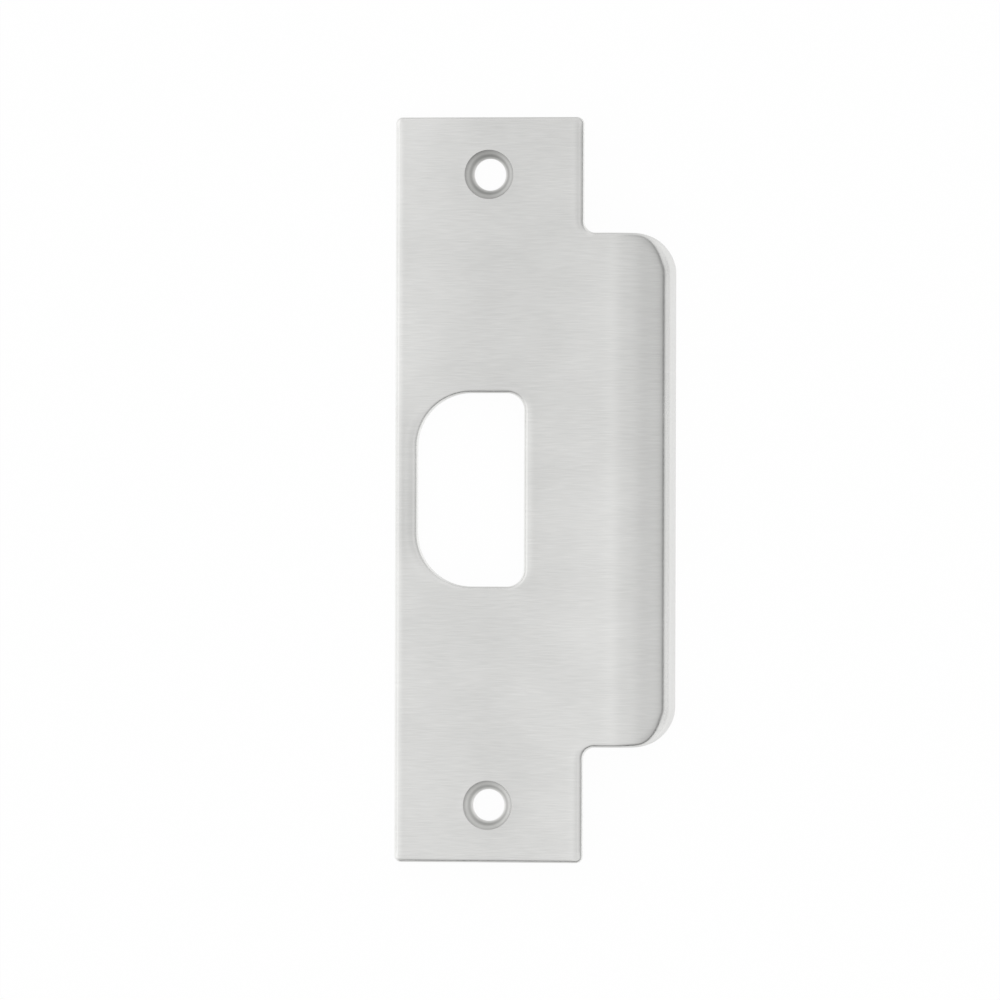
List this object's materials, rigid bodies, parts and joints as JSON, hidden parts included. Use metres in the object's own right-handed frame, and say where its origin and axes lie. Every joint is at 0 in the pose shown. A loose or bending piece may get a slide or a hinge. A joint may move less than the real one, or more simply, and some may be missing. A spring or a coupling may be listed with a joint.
{
  "type": "door strike plate",
  "caption": "Flat door strike plate with a long bent lip, a latch hole and countersunk screw holes, stamped from satin stainless sheet.",
  "frame": {"origin": "on the back of the flat plate, midway between the screw holes", "axes": "+Z out of the front face, away from the door frame; +Y along the plate's length; +X across the plate towards the lip"},
  "size_m": [0.0462, 0.1238, 0.0086],
  "materials": {
    "satin_stainless": "satin, brushed across the plate"
  },
  "bodies": {
    "root": {"strike_plate": "satin_stainless"}
  },
  "joints": []
}
